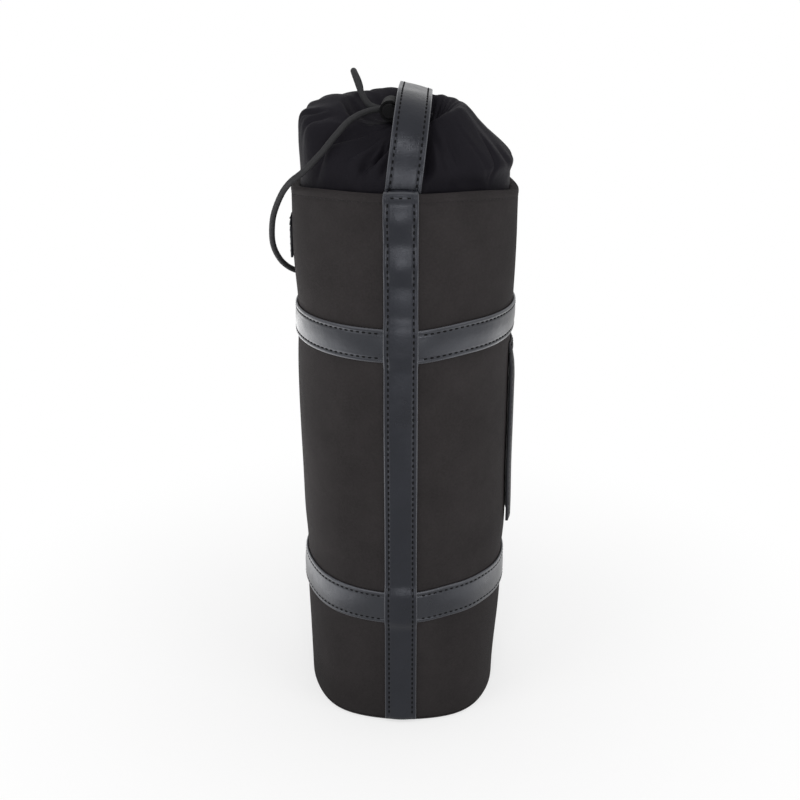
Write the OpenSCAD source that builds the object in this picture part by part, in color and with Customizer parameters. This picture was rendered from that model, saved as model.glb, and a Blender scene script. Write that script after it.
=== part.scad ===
// Drawstring bottle bag: a tapered, insulated tube of woven cloth with leather straps,
// bands and an arched handle, closed by a gathered cloth collar, a drawcord and a
// spring cord lock. Millimetres. The origin is the centre of the base on the floor,
// +Z is up and the front strap faces -Y.

/* [Body] */
// Height of the body from the floor to the rim
body_h = 287; // [240:1:340]
// Outside radius of the body at the rim
rim_r = 56; // [52:0.5:64]
// Outside radius of the body at the floor
base_r = 53.5; // [50:0.5:62]
// Thickness of the woven outer shell
shell_t = 1.2; // [0.8:0.1:2]
// Thickness of the foam insulation
foam_t = 2.4; // [1.5:0.1:4]
// Thickness of the lining
lining_t = 0.5; // [0.3:0.1:1]

/* [Base] */
// Thickness of the base panel
panel_t = 1.6; // [1:0.1:3]
// Thickness of the stiff board inside the base
board_t = 2; // [1:0.5:4]

/* [Straps and bands] */
// Width of the front and back straps
strap_w = 16.5; // [12:0.5:24]
// Thickness of the straps
strap_t = 1.4; // [1:0.1:2]
// Length over which a strap climbs onto a band
strap_ramp = 2; // [1:0.5:5]
// Width of the upper band
upper_band_w = 16.5; // [10:0.5:24]
// Width of the lower band
lower_band_w = 18; // [10:0.5:24]
// Thickness of the bands
band_t = 1.2; // [0.8:0.1:2]
// How far a band's end runs under a strap
band_tuck = 4; // [2:0.5:5]
// How far the upper bands' top edge lies below the rim
upper_band_drop = 62.5; // [45:0.5:80]
// Height of the lower bands' top edge
lower_band_top = 81; // [40:0.5:92]

/* [Handle] */
// Height of the handle's top face above the rim, standing straight
handle_rise = 41.2; // [38:0.1:60]
// Width of the handle
handle_w = 16.5; // [12:0.5:22]
// Thickness of one of the handle's two plies
ply_t = 1.1; // [0.8:0.1:1.6]
// Outside radius of the handle's two bends
handle_bend = 38; // [20:1:40]
// Lean of the handle to the right at rest, in degrees
handle_lean = 8; // [0:1:15]
// Largest lean of the handle to either side, in degrees
handle_max = 50; // [30:1:55]
// Height of the sewn block at the foot of each handle tab
tab_block = 6; // [4:0.5:12]

/* [Collar] */
// Thickness of the collar's gathered cloth
collar_t = 0.8; // [0.5:0.1:1.5]
// Height of the collar's left shoulder above the rim
left_rise = 27.5; // [15:0.5:32]
// Height of the collar's right shoulder above the rim
right_rise = 10; // [5:0.5:20]
// Height of the collar's back shoulder above the rim
back_rise = 21.5; // [12:0.5:28]
// Height of the collar's front shoulder above the rim
front_rise = 9; // [5:0.5:14]
// Height of the sewn seat of the collar below the handle tabs
collar_seat = 6; // [3:0.5:12]

/* [Drawcord] */
// Diameter of the drawcord
cord_d = 3; // [2:0.1:3.6]
// Radius of the drawcord's ring inside the gathered channel
ring_r = 4.5; // [4:0.1:7]
// Thickness of the channel's cloth
channel_t = 0.7; // [0.5:0.1:1.2]

/* [Cord lock] */
// Outside radius of the cord lock's barrel
lock_r = 4.8; // [4.8:0.1:6]
// Wall of the barrel
lock_wall = 1; // [0.8:0.1:1.4]
// Solid length of the barrel in front of the cords
lock_front = 4; // [3.5:0.5:6]
// Thickness of the barrel's closed end
lock_end = 1.4; // [1:0.1:3]
// Space for the spring behind the button
spring_space = 5.7; // [5:0.1:9]
// Diameter of the spring's wire
wire_d = 0.6; // [0.4:0.05:0.8]
// Number of turns of the spring
spring_turns = 3.5; // [2.5:0.5:4]
// Travel of the button
button_travel = 3.2; // [2.5:0.1:3.4]
// Length of the button that shows at rest
button_nose = 4; // [3.6:0.1:6]
// Thickness of the button behind the cords
button_back = 2; // [1.5:0.1:3]
// Distance of the cord lock to the left of the middle
lock_left = 6.5; // [0:0.1:8]
// Distance of the cords in the lock in front of the middle
lock_fore = 11.5; // [9:0.1:14]
// Room between the cord lock and the handle above it
lock_room = 1.95; // [1.5:0.05:5]

/* [Side pieces] */
// Width of the leather flap on the right
flap_w = 24; // [16:0.5:36]
// Length of the flap below its seam
flap_h = 96; // [60:1:110]
// Thickness of the flap
flap_t = 1.5; // [1:0.1:2]
// How far the flap's seam lies below the rim
flap_drop = 90; // [80:0.5:100]
// Width of the small tab on the left
tab_w = 14; // [10:0.5:20]
// Length of the tab below its seam
tab_h = 15.5; // [10:0.5:20]
// Thickness of the tab
tab_t = 1.2; // [0.8:0.1:1.6]
// How far the tab's seam lies below the rim
tab_drop = 26; // [15:0.5:32]
// Height of the sewn end above a side piece's seam
seam_h = 4; // [3:0.5:6]

/* [Clearances] */
// Gap between layers that are sewn together
ply_gap = 0.15; // [0.1:0.05:0.2]
// Gap between pieces that move against each other
run_gap = 0.3; // [0.25:0.05:0.4]

/* [Hidden] */

$fn = 96;
cloth = [0.19, 0.18, 0.18];
leather = [0.22, 0.22, 0.24];
nylon = [0.12, 0.11, 0.13];
foam = [0.75, 0.75, 0.73];
plastic = [0.08, 0.08, 0.08];
steel = [0.7, 0.7, 0.72];

// Walls of the body, from the outside in
wall_t = shell_t + foam_t + lining_t + 2 * ply_gap;
rim_in = rim_r - wall_t;
shell_z = panel_t + ply_gap;
sleeve_z = shell_z + board_t + ply_gap;
lining_z = sleeve_z + foam_t + ply_gap;
wall_top = body_h - shell_t - ply_gap;
rim_edge = 0.5;
upper_band_top = body_h - upper_band_drop;
flap_z = body_h - flap_drop;
tab_z = body_h - tab_drop;
function r_at(z) = base_r + (rim_r - base_r) * z / body_h;

// Handle: the legs stand inside the rim, clear of it over the whole swing
hinge_gap = 0.65;
hinge_z = body_h + ply_gap + strap_t + hinge_gap;
handle_t = 2 * ply_t + ply_gap;
leg_out = sqrt(pow(rim_in, 2) - pow(handle_w / 2 / cos(handle_max), 2)) - run_gap;
arch_rise = body_h + handle_rise - hinge_z;
arch_r = min(handle_bend, arch_rise);
tab_in = leg_out - handle_t - run_gap - ply_t;
tab_step_z = hinge_z - handle_w / 2 - run_gap;
tab_low_z = tab_step_z - tab_block;

// Cord lock: its barrel lies along Y under the handle, and the cords cross it along X
lock_x = -lock_left;
cords_y = -lock_fore;
lock_z = body_h + handle_rise - handle_t - lock_room - lock_r;
bore_r = lock_r - lock_wall;
button_r = bore_r - run_gap;
strand_y = (cord_d + run_gap) / 2;
slot_h = cord_d + 2 * run_gap;
window = 2 * cord_d + 3 * run_gap;
barrel_y = cords_y - lock_front - window / 2;
button_end = lock_front + window + button_back;
spring_end = button_end + spring_space;
barrel_len = spring_end + lock_end;
loop_gap = 0.5;
loop_x = lock_x - lock_r - loop_gap;

// Gathered mouth of the collar, to the right of the lock
channel_r = cord_d / 2 + ply_gap + channel_t;
mouth_gap = 1.3;
mouth_x = lock_x + lock_r + mouth_gap + channel_r + ring_r;
mouth = [mouth_x, cords_y, lock_z];
exit_a = asin(strand_y / ring_r);

// Collar: one row for each knot of its outside, from the sewn seat to the neck. A row holds
// how far its centre has moved from the body's axis to the mouth, its twist about the axis in
// degrees, then the radius and the height to the right, back, left and front.
collar_r = rim_in - ply_gap;
collar_in = tab_in - 2 * run_gap;
neck_r = ring_r + channel_r + 2 * ply_gap;
neck_z = lock_z - lock_r - 2 * run_gap - collar_t / 2;
crest_z = lock_z + 4.4;
seat_r = r_at(tab_low_z) - wall_t - ply_gap;
collar_knots = [
    [0, 0, [1, 1, 1, 1] * seat_r, [1, 1, 1, 1] * (tab_low_z - 1.5 - collar_seat)],
    [0, 0, [1, 1, 1, 1] * seat_r, [1, 1, 1, 1] * (tab_low_z - 1.5)],
    [0, 0, [collar_r, collar_in, collar_r, collar_in], [1, 1, 1, 1] * (tab_low_z - 0.5)],
    [0, 0, [collar_r, collar_in, collar_r, collar_in], [1, 1, 1, 1] * (body_h + 1)],
    [0, 10, [collar_r + 1.6, collar_in - 5, collar_r + 0.6, collar_in - 4],
        [right_rise, back_rise, left_rise, front_rise] + [1, 1, 1, 1] * body_h],
    [0.3, 20, [collar_r - 15.5, collar_in - 13, collar_r - 5, collar_in - 16],
        [body_h + right_rise + 13, crest_z - 8.5, crest_z - 2, body_h + front_rise + 7]],
    [0.5, 20, [collar_r - 30, collar_in - 23, collar_r - 16, collar_in - 25],
        [crest_z - 3, crest_z - 2, crest_z + 0.3, body_h + front_rise + 12]],
    [0.9, 0, [neck_r + 4, neck_r + 7, neck_r + 20, neck_r + 4], [1, 1, 1, 1] * (neck_z - 0.3)],
    [1, 0, [1, 1, 1, 1] * (neck_r + 0.4), [1, 1, 1, 1] * (neck_z - 0.2)],
    [1, 0, [1, 1, 1, 1] * neck_r, [1, 1, 1, 1] * (lock_z - cord_d / 2 - 4 * ply_gap)]
];
collar_columns = 36;
collar_steps = 2;

// Route of the drawcord's free loop, from the lock's left side round the back of the bag and
// over its top to the lock again. Heights are counted from the cords in the lock.
loop_route = [
    [-15.8, -15.3, -0.4], [-20.3, -19, -1.6], [-24.1, -22.5, -3.4], [-27.2, -26, -5.8], [-30.3, -29, -9.1],
    [-33.5, -31.5, -12.6], [-36.7, -33, -16.5], [-40.2, -32.7, -20.1], [-43.9, -31.4, -24], [-47.8, -29.1, -27.6],
    [-51.9, -26.3, -30.9], [-55, -23, -34.1], [-58.3, -19.3, -38.6], [-62.1, -14, -45.9], [-64.9, -9, -53.4],
    [-66.6, -3, -62.1], [-67, 2, -69.2], [-66.1, 8, -75.9], [-63.9, 15, -82.3], [-59.5, 22, -87.7],
    [-52.5, 31, -91.6], [-44.5, 41, -90.1], [-36.5, 48.5, -81.6], [-32, 53, -68.6], [-28.5, 56.7, -53.6],
    [-26, 58.2, -39.6], [-25, 56.5, -27.1], [-24.5, 51, -16.1], [-24, 43.5, -6.1], [-23.5, 35, 1.3],
    [-23.2, 26.5, 5.9], [-23.5, 18.5, 9.7], [-24.3, 11.5, 13.2], [-24.8, 5, 15.7], [-24, -1, 15.1],
    [-22.2, -5.5, 11.4], [-19.8, -8.3, 6], [-16.4, -9.6, 1.6]
];
loop_steps = 2;
cord_sides = 8;
spring_sides = 6;
spring_rings = 8;

// Helpers
function unit(v) = v / norm(v);
function last(list) = list[len(list) - 1];
function reverse(list) = [for (i = [len(list) - 1:-1:0]) list[i]];

// A point of the curve through a list, between items i and i + 1
function between(p, i, t) =
    let (
        a = p[max(i - 1, 0)], b = p[i],
        c = p[min(i + 1, len(p) - 1)], d = p[min(i + 2, len(p) - 1)]
    )
    0.5 * (2 * b + (c - a) * t + (2 * a - 5 * b + 4 * c - d) * t * t
        + (3 * b - a - 3 * c + d) * t * t * t);
function smooth(p, steps) = concat(
    [for (i = [0:len(p) - 2]) for (s = [0:steps - 1]) between(p, i, s / steps)], [last(p)]);

// Directions along a path, and a side vector that turns with it as little as it can
function directions(p, first, final) = [for (i = [0:len(p) - 1])
    i == 0 ? first : i == len(p) - 1 ? final : unit(p[i + 1] - p[i - 1])];
function sides_along(t, side, i = 0, made = []) =
    i == len(t) ? made :
    let (n = unit(side - (side * t[i]) * t[i]))
    sides_along(t, n, i + 1, concat(made, [n]));

// A round tube of n sides along a path
module tube(path, r, n, first, final, side) {
    t = directions(path, first, final);
    u = sides_along(t, side);
    rings = len(path);
    points = [for (i = [0:rings - 1]) for (j = [0:n - 1])
        path[i] + r * (cos(360 * j / n) * u[i] + sin(360 * j / n) * cross(t[i], u[i]))];
    skin = [for (i = [0:rings - 2]) for (j = [0:n - 1])
        let (a = i * n + j, b = i * n + (j + 1) % n)
        each [[a, a + n, b], [b, a + n, b + n]]];
    cap_first = [for (j = [1:n - 2]) [0, j, j + 1]];
    cap_final = [for (j = [1:n - 2]) [0, j + 1, j] + [1, 1, 1] * (rings - 1) * n];
    polyhedron(points, concat(skin, cap_first, cap_final));
}

// A closed skin over rings of equal length, where the last ring joins the first
module closed_rings(rings) {
    n = len(rings[0]);
    m = len(rings);
    points = [for (ring = rings) each ring];
    faces = [for (i = [0:m - 1]) for (j = [0:n - 1])
        let (a = i * n + j, b = i * n + (j + 1) % n,
            c = ((i + 1) % m) * n + j, d = ((i + 1) % m) * n + (j + 1) % n)
        each [[a, c, b], [b, c, d]]];
    polyhedron(points, faces);
}

// A layer of the body's wall, a depth below its outside
module wall_layer(z0, z1, depth, t) {
    rotate_extrude()
        polygon([
            [r_at(z0) - depth - t, z0], [r_at(z0) - depth, z0],
            [r_at(z1) - depth, z1], [r_at(z1) - depth - t, z1]
        ]);
}

// Woven tube with the hem that turns in over the rim
module outer_shell() {
    color(cloth)
        rotate_extrude()
            polygon([
                [r_at(shell_z) - shell_t, shell_z], [r_at(shell_z), shell_z],
                [r_at(body_h - rim_edge), body_h - rim_edge], [rim_r - rim_edge, body_h],
                [rim_in, body_h], [rim_in, body_h - shell_t],
                [r_at(body_h - shell_t) - shell_t, body_h - shell_t]
            ]);
}

// Round panel that closes the bottom and stands on the floor
module base_panel() {
    color(cloth)
        rotate_extrude()
            polygon([[0, 0], [base_r - rim_edge, 0], [base_r, rim_edge], [base_r, panel_t], [0, panel_t]]);
}

module base_board() {
    color(plastic)
        translate([0, 0, shell_z])
            cylinder(h = board_t, r = r_at(shell_z) - shell_t - ply_gap);
}

module foam_sleeve() {
    color(foam)
        wall_layer(sleeve_z, wall_top, shell_t + ply_gap, foam_t);
}

module foam_disc() {
    color(foam)
        translate([0, 0, sleeve_z])
            cylinder(h = foam_t, r = r_at(sleeve_z) - shell_t - foam_t - 2 * ply_gap);
}

module lining_tube() {
    color(nylon)
        wall_layer(lining_z, wall_top, wall_t - lining_t, lining_t);
}

module lining_base() {
    color(nylon)
        translate([0, 0, lining_z])
            cylinder(h = lining_t, r = r_at(lining_z) - wall_t - ply_gap);
}

// Upright strap: it climbs over the bands' ends and folds in over the rim
module strap() {
    lift = band_t + ply_gap;
    route = [
        [shell_z, 0],
        for (b = [[lower_band_top, lower_band_w], [upper_band_top, upper_band_w]]) each [
            [b[0] - b[1] - strap_ramp, 0], [b[0] - b[1] - ply_gap, lift],
            [b[0] + ply_gap, lift], [b[0] + strap_ramp, 0]
        ]
    ];
    under = [for (p = route) [r_at(p[0]) + ply_gap + p[1], p[0]]];
    over = [for (p = route) [r_at(p[0]) + ply_gap + p[1] + strap_t, p[0]]];
    fold_z = body_h + ply_gap;
    fold = [
        [rim_r + ply_gap, fold_z], [rim_in, fold_z],
        [rim_in, fold_z + strap_t], [rim_r + ply_gap + strap_t, fold_z + strap_t]
    ];
    reach = 2 * rim_r;
    color(leather)
        intersection() {
            rotate_extrude()
                polygon(concat(under, fold, reverse(over)));
            translate([-strap_w / 2, -reach, 0])
                cube([strap_w, reach, fold_z + strap_t]);
        }
}

module front_strap() {
    strap();
}

module back_strap() {
    rotate([0, 0, 180])
        strap();
}

// Band from strap to strap, round the right side, with its ends under the straps
module band(top, w) {
    end_a = asin((strap_w / 2 - band_tuck) / r_at(top));
    low = top - w;
    color(leather)
        rotate([0, 0, end_a - 90])
            rotate_extrude(angle = 180 - 2 * end_a)
                polygon([
                    [r_at(low) + ply_gap, low], [r_at(low) + ply_gap + band_t, low],
                    [r_at(top) + ply_gap + band_t, top], [r_at(top) + ply_gap, top]
                ]);
}

module upper_band_right() {
    band(upper_band_top, upper_band_w);
}

module upper_band_left() {
    rotate([0, 0, 180])
        band(upper_band_top, upper_band_w);
}

module lower_band_right() {
    band(lower_band_top, lower_band_w);
}

module lower_band_left() {
    rotate([0, 0, 180])
        band(lower_band_top, lower_band_w);
}

// Sewn end that holds a leg of the handle inside the rim: a thin upper leaf on a thick block
module handle_tab() {
    color(leather)
        rotate([90, 0, -90])
            linear_extrude(handle_w, center = true)
                polygon([
                    [tab_in, tab_low_z], [leg_out, tab_low_z], [leg_out, tab_step_z],
                    [tab_in + ply_t, tab_step_z], [tab_in + ply_t, body_h], [tab_in, body_h]
                ]);
}

module handle_tab_front() {
    handle_tab();
}

module handle_tab_back() {
    rotate([0, 0, 180])
        handle_tab();
}

// Outline of the arch, a depth inside its outer face, from the hinge line up
module arch_outline(depth) {
    half = leg_out - depth;
    top = arch_rise - depth;
    r = arch_r - depth;
    intersection() {
        union() {
            translate([-half, 0])
                square([2 * half, top - r]);
            translate([r - half, 0])
                square([2 * (half - r), top]);
            for (side = [-1, 1])
                translate([side * (half - r), top - r])
                    circle(r);
        }
        translate([-half, 0])
            square([2 * half, top]);
    }
}

// One ply of the handle: its legs end in round feet about the hinge line, so they turn in place
module handle_ply(depth) {
    color(leather)
        translate([0, 0, hinge_z])
            rotate([0, handle_lean, 0]) {
                rotate([90, 0, 90])
                    linear_extrude(handle_w, center = true)
                        difference() {
                            arch_outline(depth);
                            arch_outline(depth + ply_t);
                        }
                for (side = [-1, 1])
                    translate([0, side * (leg_out - depth - ply_t / 2), 0])
                        rotate([90, 0, 0])
                            linear_extrude(ply_t, center = true)
                                intersection() {
                                    circle(handle_w / 2);
                                    translate([-handle_w / 2, -handle_w / 2])
                                        square([handle_w, handle_w / 2]);
                                }
            }
}

module handle_outer() {
    handle_ply(0);
}

module handle_inner() {
    handle_ply(ply_t + ply_gap);
}

// Value for a direction, from those to the right, back, left and front
function round_about(v, a) =
    v[0] * pow(max(0, cos(a)), 2) + v[1] * pow(max(0, sin(a)), 2)
    + v[2] * pow(max(0, -cos(a)), 2) + v[3] * pow(max(0, -sin(a)), 2);

// Outside of the collar in one direction, as points of radius and height
function collar_profile(a) =
    let (p = [for (k = collar_knots)
        [round_about(k[2], a + k[1]), round_about(k[3], a + k[1]), k[0]]])
    concat([p[0], p[1]], smooth([for (i = [2:len(p) - 1]) p[i]], collar_steps));

// The same profile a cloth's thickness further in
function inside_of(p) = [for (i = [0:len(p) - 1])
    let (
        d = p[min(i + 1, len(p) - 1)] - p[max(i - 1, 0)],
        n = unit([-d[1], d[0]])
    )
    [p[i][0] + collar_t * n[0], p[i][1] + collar_t * n[1], p[i][2]]];

// Gathered cloth collar, drawn shut to a small neck
module collar() {
    columns = [for (j = [0:collar_columns - 1])
        let (a = 360 * j / collar_columns, p = collar_profile(a))
        [for (q = concat(p, reverse(inside_of(p))))
            [q[0] * cos(a) + q[2] * mouth[0], q[0] * sin(a) + q[2] * mouth[1], q[1]]]];
    color(nylon)
        closed_rings([for (i = [0:len(columns[0]) - 1]) [for (c = columns) c[i]]]);
}

// Cloth channel round the collar's mouth, open to the left where the cords come out
module cord_channel() {
    reach = ring_r + channel_r;
    color(nylon)
        translate(mouth)
            difference() {
                rotate_extrude()
                    translate([ring_r, 0])
                        difference() {
                            circle(channel_r);
                            circle(channel_r - channel_t);
                        }
                translate([-reach - 1, -window / 2, -channel_r - 1])
                    cube([reach, window, 2 * channel_r + 2]);
            }
}

// Drawcord inside the channel, with its two ends straight through the lock
module drawcord_run() {
    end_x = mouth[0] - ring_r * cos(exit_a) + cord_d / 2;
    color(nylon) {
        translate(mouth)
            rotate([0, 0, exit_a - 180])
                rotate_extrude(angle = 360 - 2 * exit_a)
                    translate([ring_r, 0])
                        circle(cord_d / 2);
        for (side = [-1, 1])
            translate([loop_x, cords_y + side * strand_y, lock_z])
                rotate([0, 90, 0])
                    cylinder(h = end_x - loop_x, r = cord_d / 2);
    }
}

// Free loop of the drawcord
module drawcord_loop() {
    route = concat(
        [[loop_x - ply_gap, cords_y - strand_y, 0]], loop_route,
        [[loop_x - ply_gap, cords_y + strand_y, 0]]);
    color(nylon)
        translate([0, 0, lock_z])
            tube(smooth(route, loop_steps), cord_d / 2, cord_sides, [-1, 0, 0], [1, 0, 0], [0, 0, 1]);
}

// A cylinder along the lock's axis, from one distance behind the barrel's front face to another
module along_lock(from, to, r) {
    translate([lock_x, barrel_y + from, lock_z])
        rotate([-90, 0, 0])
            cylinder(h = to - from, r = r);
}

// A slot for the two cords, across the lock
module cord_slot(from, to) {
    translate([lock_x - 2 * lock_r, barrel_y + from, lock_z - slot_h / 2])
        cube([4 * lock_r, to - from, slot_h]);
}

module lock_barrel() {
    color(plastic)
        difference() {
            along_lock(0, barrel_len, lock_r);
            along_lock(-1, spring_end, bore_r);
            cord_slot(lock_front, lock_front + window + button_travel);
        }
}

// Button whose slot pinches the cords against the barrel's slot until it is pressed
module lock_button() {
    nose_edge = 0.6;
    color(plastic)
        difference() {
            translate([lock_x, barrel_y - button_nose, lock_z])
                rotate([-90, 0, 0])
                    rotate_extrude()
                        polygon([
                            [0, 0], [button_r - nose_edge, 0], [button_r, nose_edge],
                            [button_r, button_nose + button_end], [0, button_nose + button_end]
                        ]);
            cord_slot(lock_front - button_travel, lock_front + window);
        }
}

module lock_spring() {
    coil_r = button_r - wire_d;
    clear = wire_d / 2 + ply_gap;
    coil_len = spring_space - 2 * clear;
    steps = round(spring_turns * spring_rings);
    path = [for (i = [0:steps])
        let (a = 360 * i / spring_rings)
        [coil_r * cos(a), coil_len * i / steps, coil_r * sin(a)]];
    pitch = coil_len / spring_turns;
    echo(spring_least_gap = pitch - wire_d);
    color(steel)
        translate([lock_x, barrel_y + button_end + clear, lock_z])
            tube(path, wire_d / 2, spring_sides, unit(path[1] - path[0]),
                unit(path[steps] - path[steps - 1]), [0, 1, 0]);
}

// Sewn end of a side piece, shaped to the body behind it and sloped above
module side_seam(z, w, t) {
    face = r_at(z) + run_gap + t;
    low = z + t / 2 + run_gap;
    color(leather)
        difference() {
            rotate([90, 0, 0])
                linear_extrude(w, center = true)
                    polygon([
                        [0, low], [face, low], [face, low + 0.5],
                        [r_at(z) + run_gap, low + seam_h], [0, low + seam_h]
                    ]);
            rotate_extrude($fn = 360)
                polygon([
                    [0, 0], [r_at(0) + ply_gap, 0], [r_at(body_h) + ply_gap, body_h], [0, body_h]
                ]);
        }
}

// Leaf that hangs from its seam and turns about its rounded top edge
module side_leaf(z, w, h, t) {
    color(leather)
        translate([r_at(z) + run_gap + t / 2, 0, z]) {
            translate([-t / 2, -w / 2, -h])
                cube([t, w, h]);
            rotate([90, 0, 0])
                cylinder(h = w, r = t / 2, center = true);
        }
}

module flap_seam() {
    side_seam(flap_z, flap_w, flap_t);
}

module side_flap() {
    side_leaf(flap_z, flap_w, flap_h, flap_t);
}

module tab_seam() {
    rotate([0, 0, 180])
        side_seam(tab_z, tab_w, tab_t);
}

module side_tab() {
    rotate([0, 0, 180])
        side_leaf(tab_z, tab_w, tab_h, tab_t);
}

outer_shell();
base_panel();
base_board();
foam_sleeve();
foam_disc();
lining_tube();
lining_base();
front_strap();
back_strap();
upper_band_left();
upper_band_right();
lower_band_left();
lower_band_right();
handle_tab_front();
handle_tab_back();
handle_outer();
handle_inner();
collar();
cord_channel();
drawcord_run();
drawcord_loop();
lock_barrel();
lock_button();
lock_spring();
flap_seam();
side_flap();
tab_seam();
side_tab();
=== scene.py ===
# Drawstring bottle bag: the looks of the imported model. Lengths in this script are millimetres
# in the model's frame, and become metres where a mesh is made. Lights and camera are in metres.
import math

import bpy
import numpy as np
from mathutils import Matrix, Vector


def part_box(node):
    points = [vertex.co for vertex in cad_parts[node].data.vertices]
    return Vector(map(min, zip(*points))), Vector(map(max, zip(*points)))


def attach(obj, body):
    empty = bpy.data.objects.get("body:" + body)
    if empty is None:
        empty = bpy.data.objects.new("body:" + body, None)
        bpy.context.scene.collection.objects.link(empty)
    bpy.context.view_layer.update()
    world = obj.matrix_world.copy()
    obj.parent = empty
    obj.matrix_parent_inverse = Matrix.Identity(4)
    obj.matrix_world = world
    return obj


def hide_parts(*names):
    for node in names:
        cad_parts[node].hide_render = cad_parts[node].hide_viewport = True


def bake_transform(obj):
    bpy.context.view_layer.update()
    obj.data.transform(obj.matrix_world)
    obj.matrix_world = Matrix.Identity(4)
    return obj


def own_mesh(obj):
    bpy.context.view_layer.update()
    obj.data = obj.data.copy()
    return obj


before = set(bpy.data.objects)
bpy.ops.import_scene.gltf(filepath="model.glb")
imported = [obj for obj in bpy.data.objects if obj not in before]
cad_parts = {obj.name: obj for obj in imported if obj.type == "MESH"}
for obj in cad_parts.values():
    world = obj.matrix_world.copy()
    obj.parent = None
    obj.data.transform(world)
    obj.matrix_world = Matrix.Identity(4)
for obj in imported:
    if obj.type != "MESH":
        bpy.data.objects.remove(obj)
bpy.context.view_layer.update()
MM = 0.001
TURN = 2 * math.pi
rng = np.random.default_rng(7)

# Sizes from the part's source
BODY_H = 287.0
RIM_R = 56.0
BASE_R = 53.5
SHELL_T = 1.2
WALL_T = 4.4                    # shell, foam and lining together
GAP = 0.15                      # between pieces that lie on each other
STRAP_W = 16.5
STRAP_T = 1.4
BAND_T = 1.2
BANDS = {"upper": (224.5, 16.5), "lower": (81.0, 18.0)}     # top edge and width
FLAP = {"z": 197.0, "w": 24.0, "h": 96.0, "t": 1.5}
TAB = {"z": 261.0, "w": 14.0, "h": 15.5, "t": 1.2}
HINGE_Z = 289.2
LEG_OUT = 49.68
ARCH_RISE = 39.0
ARCH_R = 38.0
PLY_T = 1.1
LEAN = math.radians(8)
CORD_D = 3.0
CORDS_Y = -11.5
CORDS_APART = 1.65              # half the distance between the two cords in the lock
LOCK_Z = 319.1
LOOP_X = -11.95                 # where the free loop leaves the lock
RING_R = 4.5                    # the cord's turn round the mouth
MOUTH = np.array([6.45, CORDS_Y, LOCK_Z])

# Faces of the inner layers, counted outwards from the shell's outside, and their heights
FOAM_OUT, FOAM_IN, FOAM_LOW = -1.35, -3.75, 3.9
LINING_OUT, LINING_IN, LINING_LOW = -3.9, -WALL_T, 6.45
LAYER_TOP = 285.6
PANEL_T = 1.6

# Sewing
STITCH_IN = 2.2                 # a stitch row's distance from a strap's edge
LEAF_STITCH_IN = 1.8
GROOVE = 0.3                    # how deep a stitch row lies
HEM = 3.7                       # height of the hem at the rim
WALL_R = 55.5                   # the wall's radius where a curve is laid out flat


def smooth(x, a, b):
    """0 before a, 1 after b and a smooth step between them."""
    t = np.clip((np.asarray(x, float) - a) / (b - a), 0, 1)
    return t * t * (3 - 2 * t)


def near(a, centre, width):
    """A bump of height 1 about a direction, with its centre and width in degrees."""
    d = (np.degrees(a) - centre + 180) % 360 - 180
    return np.exp(-(d / width) ** 2)


def hump(z, centre, width):
    """A bump of height 1 about a height."""
    return np.exp(-((z - centre) / width) ** 2)


def r_at(z):
    return BASE_R + (RIM_R - BASE_R) * np.asarray(z, float) / BODY_H


# The soft wall: its rim dips at the sides, its foot is a little squared, and its cloth is uneven
SAG_LEFT, SAG_RIGHT = -5.0, -6.0
WAVES = [(0.35, 2, 0.03, 0.6), (0.28, 3, -0.045, 2.0), (0.16, 5, 0.07, 4.1)]    # size, turns, slant, start
CORNERS = [(3.6, 270 - 37, 21), (3.6, 270 + 37, 21), (1.0, 270, 24), (2.0, 45, 19), (2.0, 135, 19)]
TUCKS = [(2.4, 0, 24), (0.6, 180, 24)]                      # at the foot: depth, direction, width
SWELLS = [                                                  # size, direction, width, height, reach
    (1.6, 0, 26, 100, 28),
    (-1.5, 188, 48, 221, 22), (-1.2, 188, 48, 86, 15), (1.1, 188, 48, 150, 40),
    (-0.8, 352, 30, 80, 12),
]


def rim_sag(a):
    c = np.cos(a)
    return np.where(c < 0, SAG_LEFT, SAG_RIGHT) * np.abs(c) ** 5


def wall(a, z, out):
    """Points in direction a, at height z, out from the shell's outside."""
    a, z, out = np.broadcast_arrays(*(np.asarray(v, float) for v in (a, z, out)))
    wave = sum(size * np.sin(turns * a + slant * z + start) for size, turns, slant, start in WAVES)
    r = r_at(z) + out + wave * smooth(z, 0, 40) * (1 - 0.4 * smooth(z, 260, 287))
    r = r + (1 - smooth(z, 15, 120)) * sum(size * near(a, *place) for size, *place in CORNERS)
    r = r - (1 - smooth(z, 5, 60)) * sum(depth * near(a, *place) for depth, *place in TUCKS)
    for size, centre, width, height, reach in SWELLS:
        r = r + size * near(a, centre, width) * hump(z, height, reach)
    lift = rim_sag(a) * smooth(z, 205, 287)
    return np.stack([r * np.cos(a), r * np.sin(a), z + lift], -1)


# Meshes
UV_PER_MM = 0.01


def mesh_object(name, points, faces, mat, body, uv=None, wear_and_highlight=None):
    me = bpy.data.meshes.new(name)
    me.from_pydata((np.asarray(points, float) * MM).tolist(), [], faces)
    if uv is not None:
        layer = me.uv_layers.new(name="UVMap")
        layer.data.foreach_set("uv", np.asarray(uv, np.float32).ravel())
    # This attribute holds edge wear and a painted highlight on the strips' edges
    if wear_and_highlight is not None:
        att = me.attributes.new("wear_and_highlight", "FLOAT", "POINT")
        att.data.foreach_set("value", np.asarray(wear_and_highlight, np.float32).ravel())
    me.materials.append(mat)
    me.polygons.foreach_set("use_smooth", [True] * len(me.polygons))
    me.update()
    ob = bpy.data.objects.new(name, me)
    bpy.context.scene.collection.objects.link(ob)
    if body:
        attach(ob, body)
    return ob


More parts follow.
